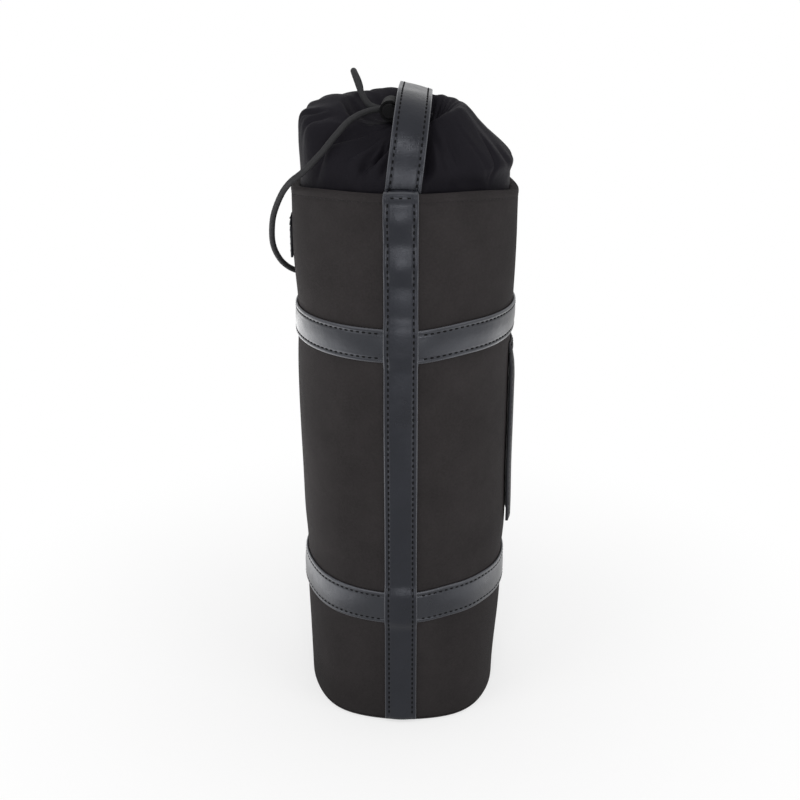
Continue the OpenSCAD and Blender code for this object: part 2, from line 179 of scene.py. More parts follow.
def grid_faces(n, m, close_n, close_m):
    """Quads of an n by m grid of points, and each corner's place in the grid before it wraps."""
    i, j = np.meshgrid(np.arange(n if close_n else n - 1), np.arange(m if close_m else m - 1),
                       indexing="ij")
    i, j = i.ravel(), j.ravel()
    ci = np.stack([i, i + 1, i + 1, i], 1)
    cj = np.stack([j, j, j + 1, j + 1], 1)
    return (ci % n) * m + (cj % m), ci, cj


def grid_object(name, P, mat, body, u, v, close_n=False, close_m=False, caps=False, wear_and_highlight=None):
    """A skin over a grid of points P[n, m]. u and v are the grid lines' places in millimetres."""
    n, m = P.shape[:2]
    faces, ci, cj = grid_faces(n, m, close_n, close_m)
    quads = faces.tolist()
    u = np.append(u, 2 * u[-1] - u[-2])
    v = np.append(v, 2 * v[-1] - v[-2])
    uv = np.stack([u[ci], v[cj]], -1).reshape(-1, 2)
    if caps:
        first = list(range(m))
        last = [(n - 1) * m + k for k in range(m)][::-1]
        quads += [first, last]
        cap_uv = np.stack([np.zeros(m), v[:m]], -1)
        uv = np.concatenate([uv, cap_uv, cap_uv[::-1]])
    return mesh_object(name, P.reshape(-1, 3), quads, mat, body, uv * UV_PER_MM,
                       None if wear_and_highlight is None else np.broadcast_to(wear_and_highlight, P.shape[:2]))


def along(p):
    """Distance along a line of points."""
    return np.concatenate([[0], np.cumsum(np.linalg.norm(np.diff(p, axis=0), axis=1))])


def spline(knots, steps):
    """The same curve through a list of points as in the part's source."""
    k = np.asarray(knots, float)
    n = len(k)
    out = []
    for i in range(n - 1):
        a, b, c, d = k[max(i - 1, 0)], k[i], k[i + 1], k[min(i + 2, n - 1)]
        for s in range(steps):
            t = s / steps
            out.append(0.5 * (2 * b + (c - a) * t + (2 * a - 5 * b + 4 * c - d) * t * t
                              + (3 * b - a - 3 * c + d) * t ** 3))
    out.append(k[-1])
    return np.array(out)


def resample(p, step):
    s = along(p)
    n = max(2, int(round(s[-1] / step)) + 1)
    t = np.linspace(0, s[-1], n)
    return np.stack([np.interp(t, s, p[:, k]) for k in range(3)], -1)


# Materials
GLOSS_TINT = (0.88, 0.91, 1.0, 1)       # the leather's gloss is a little blue
# Colour the strips' edges go to: edge wear, and a painted highlight where the rounded edge catches light
EDGE_WEAR_AND_HIGHLIGHT = (0.084, 0.086, 0.096, 1)


def new_material(name, colour, roughness, specular):
    mat = bpy.data.materials.new(name)
    mat.use_nodes = True
    nt = mat.node_tree
    b = nt.nodes["Principled BSDF"]
    b.inputs["Base Color"].default_value = (*colour, 1)
    b.inputs["Roughness"].default_value = roughness
    b.inputs["Specular IOR Level"].default_value = specular
    return mat, nt, b


def node(nt, kind, **values):
    n = nt.nodes.new(kind)
    for key, value in values.items():
        if key in n.inputs:
            n.inputs[key].default_value = value
        else:
            setattr(n, key, value)
    return n


def ramp(nt, source, stops):
    n = nt.nodes.new("ShaderNodeValToRGB")
    for element, (place, colour) in zip(n.color_ramp.elements, stops):
        element.position, element.color = place, (*colour, 1)
    nt.links.new(source, n.inputs["Fac"])
    return n.outputs["Color"]


def spread(nt, source, low, high):
    """A colour that goes from low to high over the middle of a noise."""
    return ramp(nt, source, [(0.3, low), (0.7, high)])


def scaled(colour, k):
    return tuple(min(1.0, x * k) for x in colour)


def noise(nt, scale, detail, roughness=0.5):
    """Noise in the object's own coordinates. The scale is in features to the metre."""
    n = node(nt, "ShaderNodeTexNoise", Scale=scale, Detail=detail, Roughness=roughness)
    nt.links.new(object_coords(nt), n.inputs["Vector"])
    return n.outputs["Fac"]


def object_coords(nt):
    return nt.nodes.new("ShaderNodeTexCoord").outputs["Object"]


def math_node(nt, op, a, b=None):
    n = node(nt, "ShaderNodeMath", operation=op)
    for k, x in enumerate((a, b)):
        if x is None:
            continue
        if isinstance(x, (int, float)):
            n.inputs[k].default_value = x
        else:
            nt.links.new(x, n.inputs[k])
    return n.outputs[0]


def bump(nt, height, strength, distance, under=None):
    n = node(nt, "ShaderNodeBump", Strength=strength, Distance=distance)
    nt.links.new(height, n.inputs["Height"])
    if under is not None:
        nt.links.new(under, n.inputs["Normal"])
    return n.outputs["Normal"]


def weave_height(nt, pitch):
    """Plain weave in a mesh's UV, where 100 mm count as 1: two crossing sets of threads."""
    k = TURN / (pitch * UV_PER_MM)
    uv = nt.nodes.new("ShaderNodeUVMap")
    place = node(nt, "ShaderNodeMapping", Scale=(k, k, 1))
    nt.links.new(uv.outputs["UV"], place.inputs["Vector"])
    sep = nt.nodes.new("ShaderNodeSeparateXYZ")
    nt.links.new(place.outputs["Vector"], sep.inputs["Vector"])
    return math_node(nt, "MULTIPLY", math_node(nt, "SINE", sep.outputs["X"]),
                     math_node(nt, "SINE", sep.outputs["Y"]))


def cloth_material(name, colour, pitch, roughness, relief, blotch, specular=0.12, crumple=0.0):
    mat, nt, b = new_material(name, colour, roughness, specular)
    big, fine = noise(nt, 28.0, 4.0, 0.6), noise(nt, 900.0, 3.0, 0.7)
    mixed = math_node(nt, "ADD", math_node(nt, "MULTIPLY", big, 0.6), math_node(nt, "MULTIPLY", fine, 0.4))
    nt.links.new(spread(nt, mixed, scaled(colour, 1 - blotch), scaled(colour, 1 + blotch)),
                 b.inputs["Base Color"])
    under = bump(nt, noise(nt, 75.0, 3.0), crumple, 0.002)
    height = math_node(nt, "ADD", weave_height(nt, pitch), math_node(nt, "MULTIPLY", fine, 1.2))
    nt.links.new(bump(nt, height, relief, 0.0001, under), b.inputs["Normal"])
    return mat


def leather_material(name, colour, specular, rough=(0.25, 0.38)):
    mat, nt, b = new_material(name, colour, rough[0], specular)
    b.inputs["Specular Tint"].default_value = GLOSS_TINT
    cells = node(nt, "ShaderNodeTexVoronoi", feature="DISTANCE_TO_EDGE", Scale=1100.0)
    nt.links.new(object_coords(nt), cells.inputs["Vector"])
    pores, wide = noise(nt, 1500.0, 3.0, 0.6), noise(nt, 60.0, 4.0, 0.6)
    grain = math_node(nt, "MINIMUM", math_node(nt, "MULTIPLY", cells.outputs["Distance"], 4.0), 0.6)
    height = math_node(nt, "ADD", grain, math_node(nt, "MULTIPLY", pores, 0.5))
    low = bump(nt, wide, 0.5, 0.0009)
    nt.links.new(bump(nt, height, 0.22, 0.00012, low), b.inputs["Normal"])
    # Towards the edges the colour goes to the edge colour: edge wear and painted highlight
    wear_and_highlight_mix = node(nt, "ShaderNodeMix", data_type="RGBA")
    att = node(nt, "ShaderNodeAttribute", attribute_name="wear_and_highlight")
    nt.links.new(att.outputs["Fac"], wear_and_highlight_mix.inputs["Factor"])
    nt.links.new(spread(nt, wide, scaled(colour, 0.86), scaled(colour, 1.14)), wear_and_highlight_mix.inputs[6])
    wear_and_highlight_mix.inputs[7].default_value = EDGE_WEAR_AND_HIGHLIGHT
    nt.links.new(wear_and_highlight_mix.outputs[2], b.inputs["Base Color"])
    nt.links.new(spread(nt, wide, (rough[0],) * 3, (rough[1],) * 3), b.inputs["Roughness"])
    return mat


def thread_material(name, colour):
    mat, nt, b = new_material(name, colour, 0.7, 0.1)
    fibres = noise(nt, 2500.0, 2.0)
    nt.links.new(spread(nt, fibres, scaled(colour, 0.7), scaled(colour, 1.3)), b.inputs["Base Color"])
    nt.links.new(bump(nt, fibres, 0.4, 0.0001), b.inputs["Normal"])
    return mat


def plain_material(name, colour, roughness, scale, relief, metallic=0.0, specular=0.5):
    mat, nt, b = new_material(name, colour, roughness, specular)
    b.inputs["Metallic"].default_value = metallic
    w = noise(nt, scale, 4.0, 0.65)
    nt.links.new(spread(nt, w, scaled(colour, 0.8), scaled(colour, 1.2)), b.inputs["Base Color"])
    nt.links.new(spread(nt, w, (roughness * 0.85,) * 3, (min(1, roughness * 1.15),) * 3), b.inputs["Roughness"])
    nt.links.new(bump(nt, w, relief, 0.0001), b.inputs["Normal"])
    return mat


SHELL = cloth_material("look_shell", (0.0245, 0.0219, 0.0223), pitch=0.62, roughness=0.85, relief=0.5,
                       blotch=0.3, specular=0.08, crumple=0.2)
NYLON = cloth_material("look_collar", (0.0086, 0.0078, 0.0106), pitch=0.34, roughness=0.6, relief=0.22,
                       blotch=0.14, specular=0.06, crumple=0.45)
LINING = cloth_material("look_lining", (0.020, 0.020, 0.023), pitch=0.34, roughness=0.6, relief=0.2, blotch=0.12)
LEATHER = leather_material("look_leather", (0.0046, 0.0051, 0.0078), specular=0.345)
# The bands' leather is the strap leather made a little lighter and glossier: a painted highlight for the bands'
# brighter look
BAND_LEATHER_LIT_COPY = leather_material("look_leather_band_lit_copy", (0.0052, 0.0056, 0.0076), specular=0.49)
DULL = leather_material("look_leather_dull", (0.0080, 0.0080, 0.0093), specular=0.08, rough=(0.5, 0.65))
THREAD = thread_material("look_thread", (0.0035, 0.0035, 0.004))
HEM_THREAD = thread_material("look_hem_thread", (0.023, 0.0218, 0.0222))
CORD = cloth_material("look_cord", (0.029, 0.029, 0.0305), pitch=0.8, roughness=0.7, relief=0.3, blotch=0.2)
FOAM = plain_material("look_foam", (0.52, 0.52, 0.50), roughness=0.9, scale=900.0, relief=0.8)
BOARD = plain_material("look_board", (0.012, 0.012, 0.012), roughness=0.5, scale=300.0, relief=0.3)
PLASTIC = plain_material("look_plastic", (0.0026, 0.0026, 0.0030), roughness=0.65, scale=500.0, relief=0.25,
                         specular=0.08)
STEEL = plain_material("look_steel", (0.55, 0.55, 0.57), roughness=0.3, scale=700.0, relief=0.1, metallic=1.0)

# Camera at the photo's angle
cam = bpy.data.cameras.new("camera")
cam.lens = 49.5
cam.sensor_width = 36.0
cam.clip_start = 0.01
cam_ob = bpy.data.objects.new("camera", cam)
cam_ob.location = (0.01665, -0.54469, 0.3866)
cam_ob.rotation_euler = (math.radians(67.97), 0, math.radians(1.99))
bpy.context.scene.collection.objects.link(cam_ob)
bpy.context.scene.camera = cam_ob

# Drawcord: a braided tube along a path
BRAID_PITCH = 4.2
BRAID_STRANDS = 4


def braided_tube(name, path, r, mat, body, sides=24, step=0.45):
    p = resample(path, step)
    n = len(p)
    t = np.gradient(p, axis=0)
    t /= np.linalg.norm(t, axis=1)[:, None]
    u = np.zeros_like(p)
    side = np.array([0, 0, 1.0])
    for i in range(n):
        side = side - (side @ t[i]) * t[i]
        side /= np.linalg.norm(side)
        u[i] = side
    w = np.cross(t, u)
    s = along(p)
    ang = np.linspace(0, TURN, sides, endpoint=False)
    A, S = np.meshgrid(ang, s)
    twist = S * TURN / BRAID_PITCH
    over = np.maximum(np.cos(BRAID_STRANDS * (A + twist)), np.cos(BRAID_STRANDS * (A - twist)))
    R = (r - 0.06 + 0.09 * over)[..., None]
    P = p[:, None, :] + R * (np.cos(A)[..., None] * u[:, None, :] + np.sin(A)[..., None] * w[:, None, :])
    return grid_object(name, P, mat, body, u=s, v=ang * r, close_m=True, caps=True), p


# The free loop's route from the part's source, with heights from the lock's middle
LOOP = [
    (-15.8, -15.3, -0.4), (-20.3, -19, -1.6), (-24.1, -22.5, -3.4), (-27.2, -26, -5.8), (-30.3, -29, -9.1),
    (-33.5, -31.5, -12.6), (-36.7, -33, -16.5), (-40.2, -32.7, -20.1), (-43.9, -31.4, -24), (-47.8, -29.1, -27.6),
    (-51.9, -26.3, -30.9), (-55, -23, -34.1), (-58.3, -19.3, -38.6), (-62.1, -14, -45.9), (-64.9, -9, -53.4),
    (-66.6, -3, -62.1), (-67, 2, -69.2), (-66.1, 8, -75.9), (-63.9, 15, -82.3), (-59.5, 22, -87.7),
    (-52.5, 31, -91.6), (-44.5, 41, -90.1), (-36.5, 48.5, -81.6), (-32, 53, -68.6), (-28.5, 56.7, -53.6),
    (-26, 58.2, -39.6), (-25, 56.5, -27.1), (-24.5, 51, -16.1), (-24, 43.5, -6.1), (-23.5, 35, 1.3),
    (-23.2, 26.5, 5.9), (-23.5, 18.5, 9.7), (-24.3, 11.5, 13.2), (-24.8, 5, 15.7), (-24, -1, 15.1),
    (-22.2, -5.5, 11.4), (-19.8, -8.3, 6), (-16.4, -9.6, 1.6),
]
NEAR_Y, FAR_Y = CORDS_Y - CORDS_APART, CORDS_Y + CORDS_APART
loop_points = spline([(LOOP_X, NEAR_Y, 0)] + LOOP + [(LOOP_X, FAR_Y, 0)], 6) + np.array([0, 0, LOCK_Z])
loop, loop_path = braided_tube("drawcord_loop", loop_points, CORD_D / 2, CORD, None)
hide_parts("drawcord_loop")
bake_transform(loop)

# The cord inside the lock and the channel
exit_a = math.asin(CORDS_APART / RING_R)
ring = [MOUTH + RING_R * np.array([math.cos(a), math.sin(a), 0])
        for a in np.linspace(math.pi + exit_a, 3 * math.pi - exit_a, 28)]
straight = (LOOP_X + 0.15, -6, -0.5)
run_points = np.array([(x, NEAR_Y, LOCK_Z) for x in straight] + [tuple(p) for p in ring]
                      + [(x, FAR_Y, LOCK_Z) for x in straight[::-1]])
run, _ = braided_tube("drawcord_run", spline(run_points, 4), CORD_D / 2 - 0.03, CORD, "bag", sides=16)
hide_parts("drawcord_run")


# Outer shell: a lofted tube that turns in over the rim, with a stitched hem
def tube_profile(name, rows, mat, around=256):
    """A closed tube from rows of (height, place out from the shell's outside)."""
    a = np.linspace(0, TURN, around, endpoint=False)
    z, out = np.array(rows, float).T
    P = wall(a[None, :], z[:, None], out[:, None])
    u = np.concatenate([[0], np.cumsum(np.hypot(np.diff(z), np.diff(out)))])
    return grid_object(name, P, mat, "bag", u=u, v=a * 55.0, close_n=True, close_m=True)


HEM_LOW, HEM_IN = BODY_H - HEM, BODY_H - 1.2
rows = [(1.75, -SHELL_T), (1.75, -0.5), (1.95, -0.12), (2.4, 0.0)]
rows += [(z, 0.0) for z in np.arange(5, 281, 3.0)]
rows += [(HEM_LOW - 1.4, 0.02), (HEM_LOW - 0.6, -0.06), (HEM_LOW, -0.2), (HEM_LOW + 0.6, 0.02), (HEM_LOW + 1.3, 0.2)]
rows += [(HEM_IN, 0.2), (BODY_H - 0.5, 0.05), (BODY_H - 0.1, -0.4), (BODY_H, -1.0), (BODY_H, -2.2), (BODY_H, -3.4)]
rows += [(BODY_H - 0.15, -4.1), (BODY_H - 0.6, -WALL_T), (HEM_IN, -WALL_T), (HEM_IN, -3.0), (HEM_IN, -SHELL_T)]
rows += [(z, -SHELL_T) for z in np.arange(276, 5, -15.0)]
shell = tube_profile("outer_shell", rows, SHELL)
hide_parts("outer_shell")


def layer(name, low, outside, inside, last, mat):
    """An inner layer of the wall. Its inside has rows down to just above last."""
    rows = [(low, inside), (low, outside)] + [(z, outside) for z in np.arange(15, 285, 15.0)]
    rows += [(LAYER_TOP, outside), (LAYER_TOP, inside)] + [(z, inside) for z in np.arange(270, last, -15.0)]
    ob = tube_profile(name, rows, mat, around=128)
    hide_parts(name)
    return ob


foam = layer("foam_sleeve", FOAM_LOW, FOAM_OUT, FOAM_IN, 5, FOAM)
lining = layer("lining_tube", LINING_LOW, LINING_OUT, LINING_IN, 15, LINING)


# Round pieces of the base
def disc(name, rows, mat, pucker=0.0):
    """A closed piece from rows of (radius, height), squared as the foot is. Its middle is a small cap."""
    a = np.linspace(0, TURN, 128, endpoint=False)
    radius, height = np.array(rows, float).T
    z = height[:, None] + 0 * a[None, :]
    z = z + pucker * np.sin(7 * a)[None, :] * smooth(radius[:, None], 20, 48) * (z > z.mean())
    foot = wall(a, 0 * a, 0 * a)
    r = radius[:, None] * np.hypot(foot[:, 0], foot[:, 1])[None, :] / BASE_R
    P = np.stack([r * np.cos(a)[None, :], r * np.sin(a)[None, :], z], -1)
    u = np.concatenate([[0], np.cumsum(np.hypot(np.diff(radius), np.diff(z[:, 0])))])
    ob = grid_object(name, P, mat, "bag", u=u, v=a * 50.0, close_m=True, caps=True)
    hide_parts(name)
    return ob


rows = [(1, 0.0), (15, 0), (30, 0), (45, 0), (51.5, 0), (52.6, 0.12), (53.2, 0.45), (53.45, 0.9), (53.3, 1.35)]
rows += [(r, PANEL_T) for r in (52.8, 45, 30, 15, 1)]
panel = disc("base_panel", rows, SHELL)
low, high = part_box("base_board")
r, z0, z1 = high[0] / MM, low[2] / MM, high[2] / MM
disc("base_board", [(1, z0), (25, z0), (r - 0.4, z0), (r, z0 + 0.3), (r, z1 - 0.3), (r - 0.4, z1), (25, z1), (1, z1)],
     BOARD)
pad = disc("foam_disc", [(1, 3.9), (25, 3.9), (46, 3.9), (48.2, 4.05), (48.9, 4.5), (49.1, 5.1), (48.9, 5.7),
                         (48.2, 6.15), (46, 6.3), (25, 6.3), (1, 6.3)], FOAM)
floor_cloth = disc("lining_base", [(1, 6.45), (25, 6.45), (47, 6.45), (48.6, 6.55), (48.9, 6.7), (48.6, 6.85),
                                   (47, 6.95), (25, 6.95), (1, 6.95)], LINING, pucker=0.05)


# Leather strips with folded edges, and the stitches that hold them
def strip_profile(w, t, dome=0.25, inset=STITCH_IN):
    """Closed section of a strip as (place across, height, wear and painted highlight), from one edge over the top
    to the other and back underneath."""
    e = np.array([0.0, 0.05, 0.18, 0.4, 0.75, 1.2, inset - 0.55, inset - 0.25, inset, inset + 0.25, inset + 0.6,
                  inset + 1.4])
    h = np.array([0.45, 0.62, 0.8, 0.93, 1.0, 1.0, 0.99, 0.97, 0.96, 0.97, 0.99, 1.0]) * t
    h[7:10] -= GROOVE * np.array([0.55, 1.0, 0.55])
    # Lighter edges: edge wear, and a painted highlight where the rounded edge catches light
    edge_wear_and_highlight = np.zeros(len(e))
    edge_wear_and_highlight[:5] = 0.7, 1.0, 0.85, 0.35, 0.06
    half = w / 2
    inner = half - e[-1]
    mid = np.linspace(-inner, inner, 9)[1:-1]
    mid_h = t + dome * (1 - (mid / inner) ** 2)
    under_x = np.array([half - 0.05, half - 0.3, half / 2, 0, -half / 2, -half + 0.3, -half + 0.05])
    under_h = np.array([0.2, 0.0, 0.0, 0.0, 0.0, 0.0, 0.2]) * t
    return (np.concatenate([-half + e, mid, (half - e)[::-1], under_x]),
            np.concatenate([h, mid_h, h[::-1], under_h]),
            np.concatenate([edge_wear_and_highlight, 0 * mid, edge_wear_and_highlight[::-1], np.full(len(under_x), 0.2)]))


def strip(name, place, s, profile, mat, body, length, crest=0.0):
    """A strip along s, which stands for the CAD node of its name. crest is the wear and painted highlight of whole
    rows.
    """
    x, h, wear_and_highlight = profile
    P = place(s[:, None], x[None, :], h[None, :])
    v = np.concatenate([[0], np.cumsum(np.hypot(np.diff(x), np.diff(h)))])
    ob = grid_object(name, P, mat, body, u=length, v=v, close_m=True, caps=True,
                     wear_and_highlight=np.maximum(wear_and_highlight[None, :], np.broadcast_to(crest, s.shape)[:, None]))
    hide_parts(name)
    return ob


STITCH_SIDES = 6
STITCH_ALONG = np.array([-0.5, -0.42, -0.2, 0.2, 0.42, 0.5])
STITCH_LIFT = np.array([-0.34, -0.05, 0.06, 0.06, -0.05, -0.34])
STITCH_SIZE = np.array([0.55, 0.9, 1.0, 1.0, 0.9, 0.55])
STITCH_SHARE = 0.58             # of the pitch, that one stitch takes


def stitches(name, rows, body, pitch=3.05, thread=0.43, mat=THREAD):
    """Short threads along rows of (points, outward directions), whose ends dip into the leather."""
    ang = np.linspace(0, TURN, STITCH_SIDES, endpoint=False)
    rings = len(STITCH_ALONG)
    quad, _, _ = grid_faces(rings, STITCH_SIDES, False, True)
    first = list(range(STITCH_SIDES))[::-1]
    last = [(rings - 1) * STITCH_SIDES + k for k in range(STITCH_SIDES)]
    points, faces = [], []
    count = 0
    for p, outward in rows:
        s = along(p)
        n = int(s[-1] // pitch)

        def at(q, values):
            return np.stack([np.interp(np.clip(q, 0, s[-1]), s, values[:, k]) for k in range(3)], -1)
        q = ((np.arange(n) + 0.5) * s[-1] / n)[:, None] + STITCH_ALONG[None, :] * pitch * STITCH_SHARE
        C, N = at(q, p), at(q, outward)
        N /= np.linalg.norm(N, axis=-1, keepdims=True)
        T = C[:, -1] - C[:, 0]
        T /= np.linalg.norm(T, axis=-1, keepdims=True)
        B = np.cross(T[:, None, :], N)
        C = C + N * STITCH_LIFT[None, :, None]
        P = (C[:, :, None, :] + thread * STITCH_SIZE[None, :, None, None]
             * (np.cos(ang)[None, None, :, None] * N[:, :, None, :]
                + np.sin(ang)[None, None, :, None] * B[:, :, None, :]))
        for one in P.reshape(n, -1, 3):
            points.append(one)
            faces += (quad + count).tolist()
            faces += [[count + k for k in first], [count + k for k in last]]
            count += len(one)
    return mesh_object(name, np.concatenate(points), faces, mat, body)


def row_of(place, s, x, h):
    """Points and outward directions of a stitch row at s along a strip, x across and h up."""
    s, x, h = (np.array(v, float) for v in np.broadcast_arrays(s, x, h))
    p = place(s, x, h)
    return p, place(s, x, h + 1.0) - p


def edge_rows(place, s, w, inset, h):
    """The two stitch rows along a strip's edges."""
    return [row_of(place, s, x, h) for x in (-w / 2 + inset, w / 2 - inset)]


# Upright straps: over the bands' ends and in over the rim. Below the rim the leather swells in waves
SWELL, SWELL_Z, SWELL_PITCH = 0.68, 248, 22


def strap_route():
    lift = BAND_T + GAP + 0.25
    knots = [(1.9, 0.0)]
    for level in ("lower", "upper"):
        top, w = BANDS[level]
        low = top - w
        knots += [(low - 3.5, 0.0), (low - 1.2, 0.5 * lift), (low + 0.6, lift), (top - w / 2, lift + 0.05),
                  (top - 0.6, lift), (top + 1.2, 0.5 * lift), (top + 3.5, 0.0)]
    knots += [(250.0, 0.0), (283.0, 0.0), (285.4, 0.05), (286.6, -0.15), (287.1, -0.8), (287.2, -1.7),
              (287.2, -3.0), (287.15, -4.2)]
    z, out = np.array(knots).T
    out = out + GAP
    d = np.concatenate([[0], np.cumsum(np.hypot(np.diff(z), np.diff(out)))])
    s = np.concatenate([np.arange(0, d[-1] - 12, 1.5), np.linspace(d[-1] - 12, d[-1], 24)])
    zz, oo = np.interp(s, d, z), np.interp(s, d, out)
    for _ in range(2):
        for v in (zz, oo):
            v[1:-1] = 0.25 * v[:-2] + 0.5 * v[1:-1] + 0.25 * v[2:]
    tz, to = np.gradient(zz, s), np.gradient(oo, s)
    k = np.hypot(tz, to)
    swell = SWELL * np.sin(TURN * (zz - SWELL_Z) / SWELL_PITCH) * smooth(zz, 232, 252) * (1 - smooth(zz, 282, 287))
    return s, zz, oo, tz / k, to / k, np.where(to < -0.5 * k, 0, swell)


S_S, S_Z, S_O, S_TZ, S_TO, S_SWELL = strap_route()


def strap_place(middle):
    def place(s, x, h):
        z, o, tz, to, swell = (np.interp(s, S_S, v) for v in (S_Z, S_O, S_TZ, S_TO, S_SWELL))
        a = middle + x / (r_at(z) + 1.0)
        thick = h * (1 + swell / STRAP_T)
        return wall(a, z - thick * to, o + thick * tz)
    return place


TOP_ROW_Z = 285.8               # the row of stitches across the strap's top
for side, middle in (("front", -math.pi / 2), ("back", math.pi / 2)):
    place = strap_place(middle)
    # The strap's fold over the rim goes half way to the edge colour: wear and painted highlight
    strip(side + "_strap", place, S_S, strip_profile(STRAP_W, STRAP_T), LEATHER, "bag", S_S,
          crest=0.5 * (S_Z > 286.7) * (S_O > -1.4))
    rows = edge_rows(place, S_S[2:-13], STRAP_W, STITCH_IN, STRAP_T - GROOVE)
    peak = int(np.argmax(S_Z))
    x = np.linspace(-STRAP_W / 2 + 2.6, STRAP_W / 2 - 2.6, 12)
    rows.append(row_of(place, np.interp(TOP_ROW_Z, S_Z[:peak], S_S[:peak]), x, STRAP_T + 0.12))
    stitches(side + "_strap_stitches", rows, "bag")

# Bands, a little out of level as they are sewn
END_A = math.asin((STRAP_W / 2 - 4.0) / WALL_R)
TILTS = {
    "upper_right": lambda a: -1.3 + 2.6 * smooth(np.cos(a), 0.05, 0.62),
    "upper_left": lambda a: -0.7 + 0 * a,
    "lower_right": lambda a: 0.1 + 2.2 * smooth(np.cos(a), 0.1, 0.5) - 2.0 * smooth(np.cos(a), 0.72, 1.0),
    "lower_left": lambda a: -0.6 + 1.0 * smooth(-np.cos(a), 0.75, 1.0),
}


def band_place(middle, tilt):
    def place(a, x, h):
        return wall(a, middle + x + tilt(a), GAP + h)
    return place


for level, (top, w) in BANDS.items():
    for side, start in (("right", -math.pi / 2), ("left", math.pi / 2)):
        a = np.linspace(start + END_A, start + math.pi - END_A, 140)
        place = band_place(top - w / 2, TILTS[level + "_" + side])
        name = level + "_band_" + side
        strip(name, place, a, strip_profile(w, BAND_T), BAND_LEATHER_LIT_COPY, "bag", a * 56)
        stitches(name + "_stitches", edge_rows(place, a[5:-5], w, STITCH_IN, BAND_T - GROOVE), "bag")

# Hem stitches below the rim
a = np.linspace(0, TURN, 400)
p, q = wall(a, HEM_LOW, -0.12), wall(a, HEM_LOW, 0.88)
stitches("rim_stitches", [(p, q - p)], "bag", pitch=2.6, thread=0.18, mat=HEM_THREAD)


# Handle: two plies that come out of the rim, arch over the mouth and twist a little to the right
TOP_TWIST, ROOT_TWIST = math.radians(6.0), math.radians(3.0)


def arch_route(depth):
    half, top, r = LEG_OUT - depth, ARCH_RISE - depth, ARCH_R - depth
    leg = [(-half, z) for z in np.linspace(-13, top - r, 14)[:-1]]
    arc = [(-half + r - r * math.cos(t), top - r + r * math.sin(t)) for t in np.linspace(0, math.pi / 2, 30)]
    left = leg + arc
    flat = [(y, top) for y in np.linspace(-half + r, half - r, 12)[1:-1]]
    return np.array(left + flat + [(-y, z) for y, z in left[::-1]])


def handle_place(depth):
    route = arch_route(depth)
    d = np.concatenate([[0], np.cumsum(np.hypot(*np.diff(route, axis=0).T))])
    ty, tz = np.gradient(route[:, 0], d), np.gradient(route[:, 1], d)
    k = np.hypot(ty, tz)
    ty, tz = ty / k, tz / k

    def place(s, x, h):
        s, x, h = np.broadcast_arrays(np.asarray(s, float), x, h)
        y = np.interp(s, d, route[:, 0]) - h * np.interp(s, d, tz)
        z = np.interp(s, d, route[:, 1]) + h * np.interp(s, d, ty)
        up = np.clip(z / ARCH_RISE, 0, 1)
        z = z - 0.3 * smooth(up, 0.3, 1.0)
        twist = TOP_TWIST * smooth(up, 0.1, 1.0) - ROOT_TWIST * (1 - smooth(up, -0.1, 0.5))
        x2 = x * np.cos(twist) + 0.9 * (1 - up)
        z2 = z - x * np.sin(twist) * smooth(up, 0.0, 0.8)
        c, si = math.cos(LEAN), math.sin(LEAN)
        return np.stack([x2 * c + z2 * si, y, HINGE_Z - x2 * si + z2 * c], -1)
    return place, d[-1]


for name, depth in (("handle_outer", PLY_T), ("handle_inner", 2 * PLY_T + GAP)):
    place, length = handle_place(depth)
    s = np.linspace(0, length, 170)
    if name == "handle_outer":
        profile = strip_profile(STRAP_W, PLY_T, dome=0.15)
        rows = edge_rows(place, s[4:-4], STRAP_W, STITCH_IN, PLY_T - GROOVE)
    else:
        x, h, wear_and_highlight = strip_profile(STRAP_W, PLY_T - 0.1, dome=0.15)
        profile = (x, PLY_T - h, wear_and_highlight)
        rows = [(p, -n) for p, n in edge_rows(place, s[4:-4], STRAP_W, STITCH_IN, GROOVE)]
    ply = strip(name, place, s, profile, LEATHER, None, s)
    for ob in (ply, stitches(name + "_stitches", rows, None)):
        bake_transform(ob)

# Collar: rings of (shift to the mouth, turn, radii, heights), the last two to the right, back, left and front
COLLAR_R, COLLAR_IN, TAB_LOW = 51.45, 45.33, 274.65
SEAT_R, NECK_R, NECK_Z, CREST = 51.34, 7.15, LOCK_Z - 5.8, LOCK_Z + 4.4
ALIKE = np.ones(4)
KNOTS = [
    (0, 0, ALIKE * SEAT_R, ALIKE * (TAB_LOW - 7.5)),
    (0, 0, ALIKE * SEAT_R, ALIKE * (TAB_LOW - 1.5)),
    (0, 0, [COLLAR_R, COLLAR_IN, COLLAR_R, COLLAR_IN], ALIKE * (TAB_LOW - 0.5)),
    (0, 0, [COLLAR_R + 0.7, COLLAR_IN, COLLAR_R, COLLAR_IN], ALIKE * (BODY_H + 1)),
    (0, 10, [COLLAR_R + 2.2, COLLAR_IN - 5, COLLAR_R + 0.9, COLLAR_IN - 4], BODY_H + np.array([10, 21.5, 27.5, 9.0])),
    (0.3, 20, [COLLAR_R - 13.3, COLLAR_IN - 13, COLLAR_R - 4.6, COLLAR_IN - 16],
     [BODY_H + 24, CREST - 5.5, CREST - 1.2, BODY_H + 16]),
    (0.5, 20, [COLLAR_R - 26, COLLAR_IN - 23, COLLAR_R - 16, COLLAR_IN - 25],
     [CREST - 2.2, CREST + 0.4, CREST + 0.4, BODY_H + 21]),
    (0.9, 0, [NECK_R + 4, NECK_R + 7, NECK_R + 5, NECK_R + 4], ALIKE * (NECK_Z - 0.3)),
    (1, 0, ALIKE * (NECK_R + 0.4), ALIKE * (NECK_Z - 0.2)),
    (1, 0, ALIKE * NECK_R, ALIKE * (LOCK_Z - 2.1)),
]
